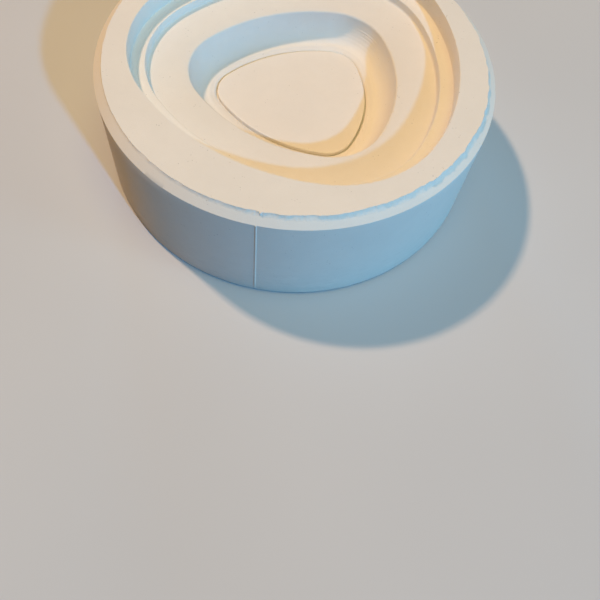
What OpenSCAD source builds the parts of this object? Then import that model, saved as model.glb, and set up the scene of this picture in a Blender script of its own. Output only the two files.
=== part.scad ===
// Open plaster casting mold for a rimmed, rounded-triangle dish.
// A round block holds the cavity, and a loose plug sits in its floor and forms the dish's base.
// Frame: origin at the middle of the resting face, +Z up, casting seam on the -Y side.

/* [Block] */
// Diameter of the round plaster block
block_d = 330; // [325:1:380]
// Height of the block
block_h = 111.5; // [104:1:150]
// Leg of the 45 degree chamfer round the top edge
top_chamfer = 7.6; // [3:0.5:9]
// Radius of the rounded bottom edge
base_round = 6; // [2:0.5:12]

/* [Casting seam] */
// Width of the raised line that the forming sheet's lap left in the wall
seam_w = 1.6; // [1:0.1:3]
// How far the seam stands out of the wall
seam_out = 0.6; // [0.3:0.1:0.8]
// Direction of the seam round the block, in degrees
seam_angle = -96.7; // [-110:0.1:-80]

/* [Cavity outline] */
// Distance between the centres of the outline's two base corners
base_spread = 70.5; // [60:1:75]
// Distance from the line of the base corners to the apex corner's centre
apex_reach = 73.8; // [64:0.5:76]
// Corner radius of the dish's base
corner_r = 24.9; // [20:0.5:26]
// Radius of the side between the two base corners
base_side_r = 104; // [90:1:130]
// Radius of the two sides that meet at the apex
long_side_r = 125; // [100:1:140]
// Place of the middle of the base corners' line
outline_at = [29.8, 2.5];
// Turn of the outline about the vertical, in degrees
outline_turn = -1.8; // [-5:0.1:5]

/* [Cavity steps] */
// Depth of the ledge below the top face
ledge_depth = 17; // [12:0.5:19]
// Depth of the flange's outer edge below the top face
rim_depth = 24.5; // [22.5:0.5:27]
// Depth of the flange's inner edge, which lies lower, so that the dish's rim turns up
flange_depth = 28; // [27:0.5:32]
// Depth of the dish's base below the top face
dish_depth = 54; // [50:0.5:62]
// Depth of the foot ring groove below the dish's base
groove_depth = 4.2; // [3.4:0.2:7]

/* [Cavity widths, each measured outwards from the dish's base] */
// Mouth of the cavity at the top face
mouth_out = 70.6; // [70.4:0.2:72]
// Outer edge of the ledge
ledge_out = 70.2; // [65:0.2:70.2]
// Inner edge of the ledge
rim_out = 58.1; // [57.9:0.2:61]
// Outer edge of the flange, at the foot of the short wall above it
flange_out = 57.6; // [53:0.2:57.8]
// Inner edge of the flange, where the well begins
well_out = 23; // [20:0.5:28]
// Outer edge of the well's floor band
band_out = 8; // [6:0.5:11]
// Inner edge of the floor band, where it rolls over into the foot groove
roll_out = 4.4; // [3.4:0.2:5.4]

/* [Foot plug] */
// Depth of the plug's pocket below the groove
pocket_depth = 20; // [12:1:30]
// How much narrower the pocket is at its floor, on each side
pocket_draft = 1.2; // [0.5:0.1:3]
// Gap between the plug and its pocket all round
plug_gap = 0.35; // [0.3:0.05:0.6]
// Width of the small bevel on the plug's edges
plug_bevel = 0.8; // [0.4:0.1:1.5]

/* [Hidden] */

block_r = block_d / 2;
ledge_z = block_h - ledge_depth;
rim_z = block_h - rim_depth;
flange_z = block_h - flange_depth;
base_z = block_h - dish_depth;
groove_z = base_z - groove_depth;
pocket_z = groove_z - pocket_depth;

// Height that the floor band loses from its outer edge to its roll-over
band_fall = 0.9;
// Lip radius where the flange turns down into the well
lip_r = 2;
// Fillet radius at the foot of the flange's wall
foot_fillet_r = 2;
// How far the cavity solid stands above the block, so that the mouth is cut clean through
over_cut = 5;
// Radius of the floor band's roll-over, and how far out its foot stands
roll_r = 2.6;
roll_foot_out = 1.2;
// Steps in a rounded edge, in the well's wall, and round each arc of the well's outline
ROUND_STEPS = 3;
WELL_STEPS = 7;
OUTLINE_STEPS = 10;

$fn = 96;

// ---------------------------------------------------------------- outline
// The outline is three corner arcs and three side arcs that meet tangentially, so that a
// wider or narrower copy of it only adds the same distance to every radius.

CORNERS = [[-apex_reach, 0], [0, -base_spread / 2], [0, base_spread / 2]];
SIDE_R = [base_side_r, long_side_r, long_side_r];

function heading(v) = atan2(v[1], v[0]);
function positive(a) = a < 0 ? a + 360 : a;

// Centre of the arc from corner p round to corner q, on the inner side of the line between them
function arc_centre(p, q, leg) =
    let (run = norm(q - p), along = (q - p) / run)
    (p + q) / 2 + [-along[1], along[0]] * sqrt(leg * leg - run * run / 4);

// Side k lies opposite corner k
function side_centre(k) =
    arc_centre(CORNERS[(k + 1) % 3], CORNERS[(k + 2) % 3], SIDE_R[k] - corner_r);

// Points of an elliptic quarter arc from angle a0 to angle a1 about c
function arc_points(c, rx, rz, a0, a1, steps) =
    [for (i = [0:steps]) let (a = a0 + (a1 - a0) * i / steps) c + [rx * cos(a), rz * sin(a)]];

// Points round the outline, widened by out
function outline_arc(centre, r, from, to) =
    [for (i = [0:OUTLINE_STEPS - 1])
        let (a = from + positive(to - from) * i / OUTLINE_STEPS)
        centre + r * [cos(a), sin(a)]];

function outline_ring(out) = [
    for (k = [2, 0, 1])
        let (corner = CORNERS[k], next = CORNERS[(k + 1) % 3])
        let (before = side_centre((k + 1) % 3), after = side_centre((k + 2) % 3))
        each concat(
            outline_arc(corner, corner_r + out, heading(corner - before), heading(corner - after)),
            outline_arc(after, SIDE_R[(k + 2) % 3] + out, heading(corner - after), heading(next - after))
        )
];

// Solid whose every level is the outline, widened by the profile's [distance outwards, height] there.
// The profile is listed upwards.
module outline_solid(profile) {
    n = 6 * OUTLINE_STEPS;
    rings = len(profile);
    points = [for (p = profile) each [for (q = outline_ring(p[0])) [q[0], q[1], p[1]]]];
    walls = [for (j = [0:rings - 2], i = [0:n - 1])
        let (a = j * n + i, b = j * n + (i + 1) % n)
        each [[a, a + n, b], [b, a + n, b + n]]];
    caps = [[for (i = [0:n - 1]) i], [for (i = [n - 1:-1:0]) (rings - 1) * n + i]];
    translate([outline_at[0], outline_at[1], 0])
        rotate([0, 0, outline_turn])
            polyhedron(points = points, faces = concat(walls, caps));
}

// ---------------------------------------------------------------- profiles
// The cavity, from the foot groove up past the top face
mouth_slope = (mouth_out - ledge_out) / ledge_depth;
flange_slope = atan2(rim_z - flange_z, flange_out - foot_fillet_r - well_out - lip_r);
CAVITY = concat(
    // foot groove and the floor band's roll-over
    [[roll_foot_out - 0.4, groove_z]],
    arc_points([roll_out, base_z - band_fall - roll_r], roll_out - roll_foot_out, roll_r, 165, 90, ROUND_STEPS),
    // curved wall of the well, and its lip
    arc_points([band_out, flange_z - lip_r], well_out - band_out, flange_z - lip_r - base_z, -90, 0, WELL_STEPS),
    arc_points([well_out + lip_r, flange_z - lip_r], lip_r, lip_r, 150, 90 + flange_slope, ROUND_STEPS),
    // flange, and the short wall with a fillet at its foot
    arc_points([flange_out - foot_fillet_r, rim_z + foot_fillet_r], foot_fillet_r, foot_fillet_r,
        flange_slope - 90, 0, ROUND_STEPS),
    // ledge, and the spare wall up to the mouth
    [[rim_out, ledge_z], [ledge_out, ledge_z],
     [mouth_out + mouth_slope * over_cut, block_h + over_cut]]
);

POCKET = [[-pocket_draft, pocket_z], [0, groove_z + 0.01]];

// Slope of the pocket's wall, which the plug's wall follows
draft_slope = pocket_draft / pocket_depth;
function plug_wall(z) = -pocket_draft + (z - pocket_z) * draft_slope - plug_gap;
PLUG = [
    [plug_wall(pocket_z) - plug_bevel, pocket_z],
    [plug_wall(pocket_z + plug_bevel), pocket_z + plug_bevel],
    [-plug_gap, groove_z],
    [-plug_gap, base_z - plug_bevel],
    [-plug_gap - plug_bevel / 2, base_z - plug_bevel / 4],
    [-plug_gap - plug_bevel, base_z]
];

// ---------------------------------------------------------------- sub-parts
module block() {
    rotate_extrude()
        polygon(concat(
            [[0, 0]],
            arc_points([block_r - base_round, base_round], base_round, base_round, -90, 0, ROUND_STEPS),
            [[block_r, block_h - top_chamfer], [block_r - top_chamfer, block_h], [0, block_h]]
        ));
}

// Raised line where the ends of the forming sheet lapped
module seam_line() {
    rotate([0, 0, seam_angle])
        translate([block_r - seam_out, -seam_w / 2, base_round])
            cube([2 * seam_out, seam_w, block_h - top_chamfer - base_round - seam_out]);
}

module mold_body() {
    color("antiquewhite")
        difference() {
            union() {
                block();
                seam_line();
            }
            outline_solid(CAVITY);
            outline_solid(POCKET);
        }
}

module foot_plug() {
    color("linen")
        outline_solid(PLUG);
}

mold_body();
foot_plug();
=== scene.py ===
import math

import bpy
import numpy as np
from mathutils import Matrix, Vector


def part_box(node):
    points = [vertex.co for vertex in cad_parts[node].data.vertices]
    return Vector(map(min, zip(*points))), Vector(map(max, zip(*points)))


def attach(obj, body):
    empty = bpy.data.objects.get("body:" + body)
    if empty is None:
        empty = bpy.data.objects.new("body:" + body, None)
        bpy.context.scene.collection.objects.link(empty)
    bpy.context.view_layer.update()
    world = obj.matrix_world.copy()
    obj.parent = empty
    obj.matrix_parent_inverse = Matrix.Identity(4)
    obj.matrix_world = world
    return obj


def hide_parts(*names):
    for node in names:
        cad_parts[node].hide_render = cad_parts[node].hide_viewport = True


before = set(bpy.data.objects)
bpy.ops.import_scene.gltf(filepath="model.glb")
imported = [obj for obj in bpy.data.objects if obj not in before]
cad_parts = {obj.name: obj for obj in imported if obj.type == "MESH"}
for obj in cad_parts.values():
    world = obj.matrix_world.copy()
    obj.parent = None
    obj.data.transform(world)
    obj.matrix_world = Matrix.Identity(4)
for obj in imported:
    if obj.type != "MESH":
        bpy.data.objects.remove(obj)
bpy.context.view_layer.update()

# Open plaster mold for a rimmed, rounded-triangle dish: a round block with the cavity, and a loose
# foot plug in the cavity's floor. Sizes are in millimetres and angles in degrees unless a name says
# otherwise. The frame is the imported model's own: middle of the resting face, +Z up, seam at -Y.
MM = 0.001

# ---------------------------------------------------------------- sizes
block_low, block_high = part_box("mold_body")
plug_low, plug_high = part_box("foot_plug")
BLOCK_H = block_high.z / MM
BLOCK_R = block_high.x / MM
BASE_Z = plug_high.z / MM
POCKET_Z = plug_low.z / MM

TOP_CHAMFER = 7.6
BASE_ROUND = 6.0

# The cavity's levels, from the top face down
LEDGE_Z = BLOCK_H - 17.0
RIM_Z = BLOCK_H - 24.5
FLANGE_Z = BLOCK_H - 28.0
GROOVE_Z = BASE_Z - 4.2

# The cavity's widths, each measured outwards from the outline of the dish's base
MOUTH_OUT = 70.6
LEDGE_OUT = 70.2
RIM_OUT = 58.1
FLANGE_OUT = 57.6
WELL_OUT = 23.0
BAND_OUT = 8.0
ROLL_OUT = 4.4
ROLL_FOOT_OUT = 1.2
GROOVE_OUT = 0.8
POCKET_DRAFT = 1.2
PLUG_GAP = 0.2

# Radii of the cavity's edges and corners
MOUTH_EDGE_R = 0.5
LEDGE_FOOT_R = 0.8
RIM_EDGE_R = 0.8
FOOT_FILLET_R = 2.0
LIP_R = 2.0
BAND_FALL = 0.9
ROLL_R = 2.6
PLUG_EDGE_R = 0.8

# The outline of the dish's base: three corner arcs joined by three side arcs
APEX_REACH = 73.8
BASE_SPREAD = 70.5
CORNER_R = 24.9
SIDE_R = (104.0, 125.0, 125.0)
OUTLINE_AT = np.array([29.8, 2.5])
OUTLINE_TURN = -1.8

# The seam that the forming sheet's lap left in the outer wall
SEAM_ANGLE = -96.7
SEAM_W = 1.6
SEAM_OUT = 0.6

# ---------------------------------------------------------------- surface detail
COLUMNS = 1080
SEAM_REACH = 2.6
SEAM_PITCH = 0.2
# How far the outer wall stays inside the CAD's, so that its unevenness stays inside it too
SLACK = 0.15
# How far the top face and the plug's middle lie under the CAD's
TOP_DROP = 0.03
PLUG_DROP = 0.04
# Edges that turn more than this are sharp
SHARP_ANGLE = 32.0
# The crumbled top edge: most chips lie on the side that faces WORN_ANGLE
CHIPS = 190
CHIP_REACH = (1.0, 6.0)
CHIP_DEPTH = (0.3, 1.9)
CRUMB = 0.25
WORN_ANGLE = -28.0
# The finer nicks along the cavity's mouth
NICKS = 70
NICK_REACH = (0.5, 2.2)
NICK_DEPTH = (0.1, 0.8)
# Direction, half length and depth of the nick and of the spur where the seam meets the top face
SEAM_NICK = (-97.3, 1.3, 0.9)
SEAM_SPUR = (-96.1, 0.9, 1.3)
# Height of the broken face between the top face and the chamfer, on the sound and on the worn side
SCARP = (0.8, 4.4)
# Faint steps that a tool left in one corner of the well
TOOL_STEP = 2.7
TOOL_STEP_OUT = 0.24
TOOL_ANGLE = 47.0
TOOL_SPREAD = 24.0

# Height up the outer wall that is scuffed and smeared
SCUFF_H = 55.0

# Linear colour of each piece's plaster, and how crowded its pinholes are
BLOCK_PLASTER = dict(colour=(0.87, 0.83, 0.765), pinholes=0.17)
PLUG_PLASTER = dict(colour=(0.87, 0.83, 0.77), pinholes=0.14)

# ---------------------------------------------------------------- camera and light
CAMERA_DISTANCE = 3.4082 * BLOCK_R
CAMERA_ELEVATION = 43.77
VIEW_PITCH = 59.418
VIEW_YAW = 3.05
VIEW_ROLL = 7.669
LENS = 39.69
SENSOR_W = 36.0
SHIFT_Y = -0.1
NEAR_CLIP = 0.01

# Directions in degrees, sizes in metres and powers in watts
LAMPS = {
    "key": dict(azimuth=147.0, elevation=56.0, size=0.26, power=156.0, colour=(1.0, 0.64, 0.40)),
    "fill": dict(azimuth=-54.0, elevation=32.0, size=0.20, power=137.0, colour=(0.05, 0.467, 1.0)),
    "side": dict(azimuth=-17.0, elevation=10.0, size=0.90, power=51.0, colour=(0.41, 0.80, 1.0)),
    "top": dict(azimuth=-60.0, elevation=75.0, size=3.00, power=90.0, colour=(1.0, 0.82, 0.35)),
    "back": dict(azimuth=105.0, elevation=8.0, size=0.90, power=50.0, colour=(0.10, 0.58, 1.0)),
}
LIGHT_DISTANCE = 5.0
# The world's own light, and the backdrop that only the camera sees
SKY_COLOUR = (0.86, 0.90, 1.0)
SKY_STRENGTH = 0.004
BACKDROP = (0.72, 0.74, 0.77)
# Half the floor's side and its drop below the block, in metres, and its two tones to the camera.
# Light that bounces off it sees the darker colour.
FLOOR_HALF = 1.6
FLOOR_DROP = 0.0002
FLOOR_TONES = (0.60, 0.62, 0.65, 1.0), (0.63, 0.65, 0.68, 1.0)
FLOOR_BOUNCE = (0.37, 0.31, 0.25, 1.0)


# ---------------------------------------------------------------- outline
def heading(v):
    return math.atan2(v[1], v[0])


def corner_centres():
    """Centres of the outline's apex corner and its two base corners."""
    turn = math.radians(OUTLINE_TURN)
    spin = np.array([[math.cos(turn), -math.sin(turn)], [math.sin(turn), math.cos(turn)]])
    plain = np.array([[-APEX_REACH, 0.0], [0.0, -BASE_SPREAD / 2], [0.0, BASE_SPREAD / 2]])
    return plain @ spin.T + OUTLINE_AT


def arc_centre(p, q, leg):
    """Centre of the arc from corner p round to corner q, on the inner side of the line between them."""
    run = np.linalg.norm(q - p)
    along = (q - p) / run
    return (p + q) / 2 + np.array([-along[1], along[0]]) * math.sqrt(leg * leg - run * run / 4)


def outline_arcs():
    """First heading, centre and radius of the outline's six arcs, in the order of their headings."""
    corners = corner_centres()
    sides = [
        arc_centre(corners[(k + 1) % 3], corners[(k + 2) % 3], SIDE_R[k] - CORNER_R) for k in range(3)
    ]
    arcs = []
    for k in range(3):
        before, after = sides[(k + 1) % 3], sides[(k + 2) % 3]
        arcs.append((heading(corners[k] - before) % math.tau, corners[k], CORNER_R))
        arcs.append((heading(corners[k] - after) % math.tau, after, SIDE_R[(k + 2) % 3]))
    return sorted(arcs, key=lambda arc: arc[0])


ARCS = outline_arcs()
ARC_STARTS = np.array([arc[0] for arc in ARCS])
ARC_CENTRES = np.array([arc[1] for arc in ARCS])
ARC_RADII = np.array([arc[2] for arc in ARCS])
OUTLINE_MIDDLE = corner_centres().mean(axis=0)


def outline_points(phi, out):
    """Points of the outline widened by out, where its outward direction has the headings phi."""
    arc = (np.searchsorted(ARC_STARTS, phi % math.tau, side="right") - 1) % len(ARCS)
    outward = np.stack([np.cos(phi), np.sin(phi)], axis=1)
    return ARC_CENTRES[arc] + (ARC_RADII[arc] + out)[:, None] * outward


# ---------------------------------------------------------------- columns
def column_angles():
    """Angles of the mesh's columns round the block, closer together at the seam."""
    seam = math.radians(SEAM_ANGLE)
    near = SEAM_REACH / BLOCK_R
    even = np.linspace(-math.pi, math.pi, COLUMNS, endpoint=False)
    close = np.linspace(seam - near, seam + near, int(2 * SEAM_REACH / SEAM_PITCH) + 1)
    return np.sort(np.concatenate([even[np.abs(even - seam) > 1.05 * near], close]))


def column_headings(angles):
    """The outline heading at which the cavity's mouth lies at each angle round the block."""
    phi = np.linspace(0, math.tau, 7200, endpoint=False)
    mouth = outline_points(phi, np.full_like(phi, MOUTH_OUT))
    seen = np.unwrap(np.arctan2(mouth[:, 1], mouth[:, 0]))
    turns = np.concatenate([seen - math.tau, seen, seen + math.tau])
    return np.interp(angles, turns, np.concatenate([phi - math.tau, phi, phi + math.tau]))


ANGLE = column_angles()
PHI = column_headings(ANGLE)


def polar_row(radius, z):
    """A row of points round the block's axis."""
    radius = np.broadcast_to(radius, ANGLE.shape)
    return np.stack([radius * np.cos(ANGLE), radius * np.sin(ANGLE), np.broadcast_to(z, ANGLE.shape)], axis=1)


def cavity_row(out, z):
    """A row of points round the cavity, widened by out from the dish's base."""
    flat = outline_points(PHI, np.broadcast_to(out, PHI.shape))
    return np.column_stack([flat, np.broadcast_to(z, PHI.shape)])


def inner_row(row, share, z):
    """A row shrunk towards the outline's middle."""
    flat = OUTLINE_MIDDLE + (row[:, :2] - OUTLINE_MIDDLE) * share
    return np.column_stack([flat, np.broadcast_to(z, PHI.shape)])


def arc(centre, radii, first, last, steps):
    """(distance outwards, height) of the points along an elliptic arc."""
    turn = np.radians(np.linspace(first, last, steps + 1))
    return [(centre[0] + radii[0] * math.cos(t), centre[1] + radii[1] * math.sin(t)) for t in turn]


# ---------------------------------------------------------------- unevenness
def wander(seed, fewest, most):
    """Smooth noise round the block, about -1 to 1, with that range of waves in a turn."""
    waves = np.arange(fewest, most + 1)
    phase = np.random.default_rng(seed).uniform(0, math.tau, len(waves))
    return np.sin(np.outer(ANGLE, waves) + phase).sum(axis=1) / math.sqrt(len(waves)) / 1.6


def angle_from(degrees):
    """Signed angle of each column from a direction, in radians."""
    return (ANGLE - math.radians(degrees) + math.pi) % math.tau - math.pi


def bite(degrees, reach, depth, radius):
    """How deep one rounded chip goes at each column."""
    across = angle_from(degrees) * radius / reach
    return depth * np.sqrt(np.clip(1 - across * across, 0, 1))


def chip_depths(seed, count, reaches, depths, radius):
    """How far an edge has crumbled inwards at each column. Chips are deeper on the worn side."""
    rng = np.random.default_rng(seed)
    depth = CRUMB * np.clip(0.55 + 0.45 * wander(seed + 1, 140, 420), 0.1, 1.2)
    for _ in range(count):
        degrees = rng.uniform(-180, 180)
        worn = 0.5 + 0.5 * math.cos(math.radians(degrees - WORN_ANGLE))
        size = rng.uniform()
        reach = reaches[0] + (reaches[1] - reaches[0]) * size
        deep = (depths[0] + (depths[1] - depths[0]) * size * rng.uniform(0.5, 1)) * (0.25 + 0.75 * worn)
        rough = 1 + 0.16 * wander(seed + 2, 120, 500)
        depth = np.maximum(depth, bite(degrees, reach, deep, radius) * rough)
    return depth


def seam_height(z):
    """How far the seam stands out of the wall at each column, at one height."""
    across = np.clip(np.abs(angle_from(SEAM_ANGLE)) * BLOCK_R / (SEAM_W / 2), 0, 1)
    uneven = 0.85 + 0.15 * math.sin(z / 4.1) * math.cos(z / 7.3)
    return SEAM_OUT * uneven * (1 - across ** 4)


def tool_steps(z):
    """How far the well's wall is stepped outwards at each column, at one height."""
    fade = np.exp(-(angle_from(TOOL_ANGLE) / math.radians(TOOL_SPREAD)) ** 2)
    rise = (z - BASE_Z) / (FLANGE_Z - BASE_Z)
    return TOOL_STEP_OUT * fade * math.sin(math.pi * min(max(rise, 0), 1)) * math.sin(math.tau * z / TOOL_STEP)


# ---------------------------------------------------------------- rows of the block
def underside_rows():
    return [polar_row(r, 0.0) for r in (45.0, 90.0, 130.0)]


def wall_rows():
    rows = []
    for r, z in arc((BLOCK_R - BASE_ROUND, BASE_ROUND), (BASE_ROUND, BASE_ROUND), -90, 0, 5):
        rows.append(polar_row(r - SLACK * (r + BASE_ROUND - BLOCK_R) / BASE_ROUND, z))
    top = BLOCK_H - TOP_CHAMFER
    swell = wander(11, 2, 9)
    for z in np.linspace(BASE_ROUND, top - 0.3, 11)[1:]:
        lean = 0.06 * math.sin(z / 13.0)
        rows.append(polar_row(BLOCK_R - SLACK + 0.08 * swell + lean + seam_height(z), z))
    return rows


def edge_rows():
    """The chamfer, and the broken face that its crumbled upper edge left under the top face."""
    inner = BLOCK_R - TOP_CHAMFER
    low = BLOCK_H - TOP_CHAMFER
    worn = (0.5 + 0.5 * np.cos(angle_from(WORN_ANGLE))) ** 1.5
    drop = SCARP[0] + (SCARP[1] - SCARP[0]) * worn
    smooth_foot = inner + 0.6 * drop
    slope = (BLOCK_H - drop - low) / (BLOCK_R - smooth_foot)

    def chamfer_row(radius):
        return polar_row(radius, low + (BLOCK_R - radius) * slope)

    chips = chip_depths(21, CHIPS, CHIP_REACH, CHIP_DEPTH, inner)
    chips = np.maximum(chips, bite(*SEAM_NICK, inner))
    ragged = inner + 0.35 - 0.85 * chips + bite(*SEAM_SPUR, inner)
    foot = smooth_foot - 0.3 * chips + 0.14 * drop * wander(23, 30, 300)
    rows = [chamfer_row(smooth_foot + (BLOCK_R - SLACK - smooth_foot) * share) for share in (1.0, 0.6, 0.25)]
    rows.append(chamfer_row(foot + 0.5))
    rows.append(chamfer_row(foot))
    top = BLOCK_H - TOP_DROP
    for share, dent in ((0.35, 0.1), (0.7, 0.12)):
        row = rows[4] + (polar_row(ragged, top) - rows[4]) * share
        uneven = dent * drop * (0.6 + 0.8 * wander(25 + int(10 * share), 60, 420))
        row[:, :2] -= uneven[:, None] * np.stack([np.cos(ANGLE), np.sin(ANGLE)], axis=1)
        rows.append(row)
    rows.append(polar_row(ragged, top))
    return rows


def top_rows(edge):
    """The flat top face, from its chipped edge in to the cavity's mouth, with its small nicks."""
    nicks = chip_depths(31, NICKS, NICK_REACH, NICK_DEPTH, BLOCK_R - 30) * 0.6
    mouth = cavity_row(MOUTH_OUT + MOUTH_EDGE_R + nicks, BLOCK_H - TOP_DROP)
    rows = []
    for share in (0.03, 0.25, 0.5, 0.75, 0.97):
        row = edge + (mouth - edge) * share
        hollow = 0.05 * np.clip(wander(33, 3, 12), 0, 1) * math.sin(math.pi * share)
        row[:, 2] = BLOCK_H - TOP_DROP - hollow
        rows.append(row)
    rows.append(mouth)
    rows.append(cavity_row(MOUTH_OUT + 0.3 * MOUTH_EDGE_R + 0.55 * nicks, BLOCK_H - 0.3 * MOUTH_EDGE_R))
    rows.append(cavity_row(MOUTH_OUT, BLOCK_H - MOUTH_EDGE_R - 0.8 * nicks))
    return rows


def cavity_profile():
    """(distance outwards, height) down the cavity's walls, from below its mouth to the groove."""
    rise = RIM_Z - FLANGE_Z
    tilt = math.degrees(math.atan2(rise, FLANGE_OUT - FOOT_FILLET_R - WELL_OUT - LIP_R))
    flange_in = (WELL_OUT + LIP_R, FLANGE_Z)
    flange_edge = (FLANGE_OUT - FOOT_FILLET_R, RIM_Z)
    flange = [
        (
            flange_edge[0] + (flange_in[0] - flange_edge[0]) * share,
            flange_edge[1] + (flange_in[1] - flange_edge[1]) * share,
        )
        for share in (0.2, 0.4, 0.6, 0.8)
    ]
    band = [(BAND_OUT - (BAND_OUT - ROLL_OUT) * s, BASE_Z - BAND_FALL * s * s) for s in (0.35, 0.7)]
    return (
        [((MOUTH_OUT + LEDGE_OUT) / 2, (BLOCK_H + LEDGE_Z) / 2)]
        + arc((LEDGE_OUT - LEDGE_FOOT_R, LEDGE_Z + LEDGE_FOOT_R), (LEDGE_FOOT_R, LEDGE_FOOT_R), 0, -90, 3)
        + [((LEDGE_OUT + RIM_OUT) / 2, LEDGE_Z)]
        + arc((RIM_OUT + RIM_EDGE_R, LEDGE_Z - RIM_EDGE_R), (RIM_EDGE_R, RIM_EDGE_R), 90, 180, 4)
        + arc(
            (FLANGE_OUT - FOOT_FILLET_R, RIM_Z + FOOT_FILLET_R),
            (FOOT_FILLET_R, FOOT_FILLET_R), 0, tilt - 90, 5,
        )
        + flange
        + arc((WELL_OUT + LIP_R, FLANGE_Z - LIP_R), (LIP_R, LIP_R), 90 + tilt, 170, 5)
        + arc(
            (BAND_OUT, FLANGE_Z - LIP_R),
            (WELL_OUT - BAND_OUT, FLANGE_Z - LIP_R - BASE_Z), -2, -90, 30,
        )
        + band
        + arc(
            (ROLL_OUT, BASE_Z - BAND_FALL - ROLL_R), (ROLL_OUT - ROLL_FOOT_OUT, ROLL_R), 90, 165, 6,
        )
        + [(GROOVE_OUT, GROOVE_Z), (0.0, GROOVE_Z)]
    )


def cavity_rows():
    soft = 0.07 * wander(41, 3, 14)
    rows = []
    for out, z in cavity_profile():
        in_well = BASE_Z < z < FLANGE_Z - LIP_R
        uneven = soft * min(out / BAND_OUT, 1.0)
        rows.append(cavity_row(out + uneven + (tool_steps(z) if in_well else 0.0), z))
    return rows


def pocket_rows():
    floor = cavity_row(-POCKET_DRAFT, POCKET_Z)
    return [floor] + [inner_row(floor, share, POCKET_Z) for share in (0.8, 0.5, 0.2)]


# ---------------------------------------------------------------- rows of the plug
def plug_rows():
    draft = POCKET_DRAFT / (GROOVE_Z - POCKET_Z)

    def side(z):
        return -PLUG_GAP - draft * max(GROOVE_Z - z, 0.0)

    bottom = cavity_row(side(POCKET_Z) - PLUG_EDGE_R, POCKET_Z)
    rows = [inner_row(bottom, share, POCKET_Z) for share in (0.2, 0.5, 0.8)]
    rows.append(bottom)
    for z in (POCKET_Z + PLUG_EDGE_R, (POCKET_Z + GROOVE_Z) / 2, GROOVE_Z):
        rows.append(cavity_row(side(z), z))
    shoulder = (-PLUG_GAP - PLUG_EDGE_R, BASE_Z - PLUG_EDGE_R)
    for out, z in arc(shoulder, (PLUG_EDGE_R, PLUG_EDGE_R), 0, 90, 5):
        rows.append(cavity_row(out, z))
    for out in (-2.0, -4.5, -9.0):
        rows.append(cavity_row(out, BASE_Z))
    last = rows[-1]
    rows += [inner_row(last, share, BASE_Z - PLUG_DROP) for share in (0.7, 0.4, 0.15)]
    return rows


# ---------------------------------------------------------------- meshes
def closed_mesh(name, rows, first_pole, last_pole, marks=None):
    """A watertight skin over the rows, closed by a fan at each end. marks says how broken a row is."""
    n = len(ANGLE)
    points = np.concatenate([np.concatenate(rows), [first_pole, last_pole]]) * MM
    this = np.arange(n)
    following = (this + 1) % n
    faces = []
    for j in range(len(rows) - 1):
        low, high = j * n, (j + 1) * n
        faces += np.stack([low + this, low + following, high + following, high + this], axis=1).tolist()
    first, last = len(rows) * n, len(rows) * n + 1
    end = (len(rows) - 1) * n
    faces += [[first, int(following[i]), int(i)] for i in this]
    faces += [[last, int(end + i), int(end + following[i])] for i in this]
    mesh = bpy.data.meshes.new(name)
    mesh.from_pydata(points.tolist(), [], faces)
    mesh.shade_smooth()
    mesh.set_sharp_from_angle(angle=math.radians(SHARP_ANGLE))
    broken = mesh.attributes.new("broken", "FLOAT", "POINT")
    values = np.zeros(len(points), np.float32)
    for j, value in (marks or {}).items():
        values[j * n:(j + 1) * n] = value
    broken.data.foreach_set("value", values)
    piece = bpy.data.objects.new(name, mesh)
    bpy.context.scene.collection.objects.link(piece)
    return piece


def make_block():
    rows = underside_rows() + wall_rows()
    edge = edge_rows()
    first_edge = len(rows)
    rows += edge
    marks = {first_edge + k: value for k, value in ((4, 0.6), (5, 1.0), (6, 1.0))}
    rows += top_rows(edge[-1]) + cavity_rows() + pocket_rows()
    middle = [OUTLINE_MIDDLE[0], OUTLINE_MIDDLE[1], POCKET_Z]
    return closed_mesh("block_shell", rows, [0, 0, 0], middle, marks)


def make_plug():
    middle = OUTLINE_MIDDLE.tolist()
    return closed_mesh("plug_shell", plug_rows(), middle + [POCKET_Z], middle + [BASE_Z - PLUG_DROP])


# ---------------------------------------------------------------- materials
class Nodes:
    """A material's node tree, with a short way to add nodes to it."""

    def __init__(self, name):
        self.material = bpy.data.materials.new(name)
        self.material.use_nodes = True
        self.tree = self.material.node_tree
        self.shader = self.tree.nodes["Principled BSDF"]

    def add(self, kind, inputs=None, **settings):
        node = self.tree.nodes.new(kind)
        for key, value in settings.items():
            setattr(node, key, value)
        for key, value in (inputs or {}).items():
            if isinstance(value, bpy.types.NodeSocket):
                self.tree.links.new(value, node.inputs[key])
            else:
                node.inputs[key].default_value = value
        return node

    def noise(self, where, scale, detail=3.0, roughness=0.5):
        inputs = {"Vector": where, "Scale": scale, "Detail": detail, "Roughness": roughness}
        return self.add("ShaderNodeTexNoise", inputs).outputs["Fac"]

    def spread(self, value, low, high, to_low, to_high):
        """Maps the range low to high onto to_low to to_high, and holds it there."""
        inputs = {0: value, 1: low, 2: high, 3: to_low, 4: to_high}
        return self.add("ShaderNodeMapRange", inputs).outputs[0]

    def maths(self, operation, a, b):
        return self.add("ShaderNodeMath", {0: a, 1: b}, operation=operation).outputs[0]

    def tint(self, factor, a, b):
        node = self.add("ShaderNodeMix", data_type="RGBA", blend_type="MIX")
        for index, value in ((0, factor), (6, a), (7, b)):
            if isinstance(value, bpy.types.NodeSocket):
                self.tree.links.new(value, node.inputs[index])
            else:
                node.inputs[index].default_value = value
        return node.outputs[2]

    def link(self, value, socket):
        self.tree.links.new(value, self.shader.inputs[socket])


def shade(colour, factor):
    return tuple(c * factor for c in colour) + (1.0,)


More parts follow.
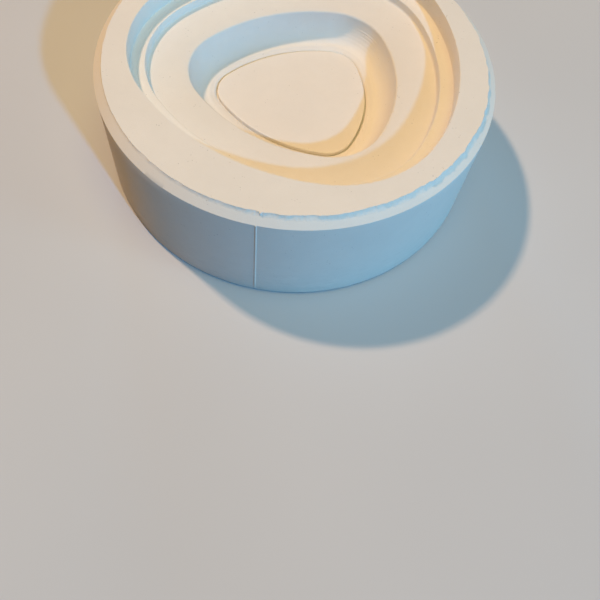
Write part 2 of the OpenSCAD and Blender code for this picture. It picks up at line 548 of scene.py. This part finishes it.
def plaster(name, colour, pinholes):
    """Dry casting plaster: matte, softly mottled, with fine grain and pinholes whose insides are darkened with
    painted shade.
    """
    m = Nodes(name)
    where = m.add("ShaderNodeTexCoord").outputs["Object"]

    clouds = m.spread(m.noise(where, 16.0, 4.0), 0.35, 0.65, 0.0, 1.0)
    patches = m.spread(m.noise(where, 95.0, 5.0, 0.6), 0.38, 0.66, 0.0, 1.0)
    grain = m.noise(where, 1500.0, 4.0, 0.7)

    cells = m.add("ShaderNodeTexVoronoi", {"Vector": where, "Scale": 290.0, "Randomness": 1.0})
    crowd = m.spread(m.noise(where, 60.0, 2.0), 0.42, 0.7, 0.0, pinholes)
    inside = m.maths("SUBTRACT", crowd, cells.outputs["Distance"])
    pinhole_dent_and_shade = m.spread(inside, 0.0, 0.04, 0.0, 1.0)

    base = m.tint(clouds, shade(colour, 0.975), shade(colour, 1.015))
    base = m.tint(m.spread(patches, 0.0, 1.0, 0.0, 0.35), base, shade(colour, 0.955))
    base = m.tint(m.spread(grain, 0.4, 0.62, 0.0, 0.22), base, shade(colour, 0.9))
    broken = m.add("ShaderNodeAttribute", attribute_name="broken").outputs["Fac"]
    base = m.tint(m.maths("MULTIPLY", broken, 0.5), base, shade(colour, 1.1))
    # Painted shade: each pinhole's inside is darkened to half the plaster's colour; the bump below also dents
    # it.
    base = m.tint(m.maths("MULTIPLY", pinhole_dent_and_shade, 0.5), base, shade(colour, 0.5))
    height_up = m.add("ShaderNodeSeparateXYZ", {"Vector": where}).outputs["Z"]
    low = m.spread(height_up, 0.0, SCUFF_H * MM, 1.0, 0.0)
    streaks = m.add("ShaderNodeMapping", {"Vector": where, "Scale": (1.0, 1.0, 3.2)}).outputs["Vector"]
    scuffs = m.spread(m.noise(streaks, 75.0, 6.0, 0.72), 0.52, 0.66, 0.0, 0.3)
    base = m.tint(m.maths("MULTIPLY", scuffs, low), base, shade(colour, 0.7))
    smears = m.spread(m.noise(streaks, 34.0, 6.0, 0.7), 0.54, 0.68, 0.0, 0.55)
    base = m.tint(m.maths("MULTIPLY", smears, low), base, shade(colour, 1.12))
    m.link(base, "Base Color")

    m.link(m.spread(patches, 0.0, 1.0, 0.82, 0.95), "Roughness")
    m.shader.inputs["Specular IOR Level"].default_value = 0.22

    coarse = m.maths("ADD", grain, m.maths("MULTIPLY", m.noise(where, 330.0, 5.0, 0.65), 1.4))
    crumbly = m.maths("MULTIPLY", m.noise(where, 620.0, 5.0, 0.7), m.maths("MULTIPLY", broken, 3.0))
    height = m.maths("SUBTRACT", m.maths("ADD", coarse, crumbly), m.maths("MULTIPLY", pinhole_dent_and_shade, 4.0))
    bump = m.add("ShaderNodeBump", {"Height": height, "Strength": 0.35, "Distance": 0.00018})
    m.link(bump.outputs["Normal"], "Normal")
    return m.material


def studio_floor(name):
    """Plain pale paper, a little uneven in tone, that bounces less light than the camera sees."""
    m = Nodes(name)
    where = m.add("ShaderNodeTexCoord").outputs["Object"]
    tone = m.spread(m.noise(where, 3.0, 2.0), 0.3, 0.7, 0.0, 1.0)
    to_camera = m.add("ShaderNodeLightPath").outputs["Is Camera Ray"]
    m.link(m.tint(to_camera, FLOOR_BOUNCE, m.tint(tone, *FLOOR_TONES)), "Base Color")
    m.shader.inputs["Roughness"].default_value = 0.95
    m.shader.inputs["Specular IOR Level"].default_value = 0.1
    return m.material


# ---------------------------------------------------------------- studio
def make_floor():
    corners = [(x * FLOOR_HALF, y * FLOOR_HALF, 0) for x, y in ((-1, -1), (1, -1), (1, 1), (-1, 1))]
    mesh = bpy.data.meshes.new("studio_floor")
    mesh.from_pydata(corners, [], [(0, 1, 2, 3)])
    mesh.materials.append(studio_floor("pale_paper"))
    floor = bpy.data.objects.new("studio_floor", mesh)
    bpy.context.scene.collection.objects.link(floor)
    floor.location.z = -FLOOR_DROP


def make_light(name, azimuth, elevation, size, power, colour):
    """A soft square lamp that shines at the middle of the block's top."""
    target = Vector((0, 0, BLOCK_H * MM))
    a, e = math.radians(azimuth), math.radians(elevation)
    away = Vector((math.cos(a) * math.cos(e), math.sin(a) * math.cos(e), math.sin(e)))
    lamp = bpy.data.lights.new(name, "AREA")
    lamp.size = size
    lamp.energy = power
    lamp.color = colour
    holder = bpy.data.objects.new(name, lamp)
    turn = away.to_track_quat("Z", "Y").to_matrix().to_4x4()
    holder.matrix_world = Matrix.Translation(target + away * LIGHT_DISTANCE) @ turn
    bpy.context.scene.collection.objects.link(holder)


def make_sky():
    """A pale backdrop for the camera, over a world that gives almost no light."""
    sky = bpy.data.worlds.new("studio_sky")
    sky.use_nodes = True
    tree = sky.node_tree
    dim = tree.nodes["Background"]
    dim.inputs["Color"].default_value = (*SKY_COLOUR, 1.0)
    dim.inputs["Strength"].default_value = SKY_STRENGTH
    pale = tree.nodes.new("ShaderNodeBackground")
    pale.inputs["Color"].default_value = (*BACKDROP, 1.0)
    seen = tree.nodes.new("ShaderNodeLightPath")
    either = tree.nodes.new("ShaderNodeMixShader")
    tree.links.new(seen.outputs["Is Camera Ray"], either.inputs[0])
    tree.links.new(dim.outputs[0], either.inputs[1])
    tree.links.new(pale.outputs[0], either.inputs[2])
    tree.links.new(either.outputs[0], tree.nodes["World Output"].inputs["Surface"])
    bpy.context.scene.world = sky


def make_camera():
    pitch, yaw, roll = (math.radians(v) for v in (VIEW_PITCH, VIEW_YAW, VIEW_ROLL))
    lift = math.radians(CAMERA_ELEVATION)
    place = Vector((0, -CAMERA_DISTANCE * math.cos(lift), BLOCK_H + CAMERA_DISTANCE * math.sin(lift))) * MM
    ahead = Vector((math.sin(yaw) * math.cos(pitch), math.cos(yaw) * math.cos(pitch), -math.sin(pitch)))
    level = Vector((math.cos(yaw), -math.sin(yaw), 0))
    upright = level.cross(ahead)
    right = level * math.cos(roll) + upright * math.sin(roll)
    up = upright * math.cos(roll) - level * math.sin(roll)
    camera = bpy.data.cameras.new("view")
    camera.lens = LENS
    camera.sensor_width = SENSOR_W
    camera.shift_y = SHIFT_Y
    camera.clip_start = NEAR_CLIP
    holder = bpy.data.objects.new("view", camera)
    turn = Matrix((right, up, -ahead)).transposed().to_4x4()
    holder.matrix_world = Matrix.Translation(place) @ turn
    bpy.context.scene.collection.objects.link(holder)
    bpy.context.scene.camera = holder


# ---------------------------------------------------------------- scene
block = make_block()
block.data.materials.append(plaster("plaster_block", **BLOCK_PLASTER))
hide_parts("mold_body")
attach(block, "block")

plug = make_plug()
plug.data.materials.append(plaster("plaster_plug", **PLUG_PLASTER))
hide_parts("foot_plug")
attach(plug, "plug")

make_floor()
for lamp_name, lamp in LAMPS.items():
    make_light(lamp_name, **lamp)
make_sky()
make_camera()
bpy.context.scene.view_settings.view_transform = "Standard"
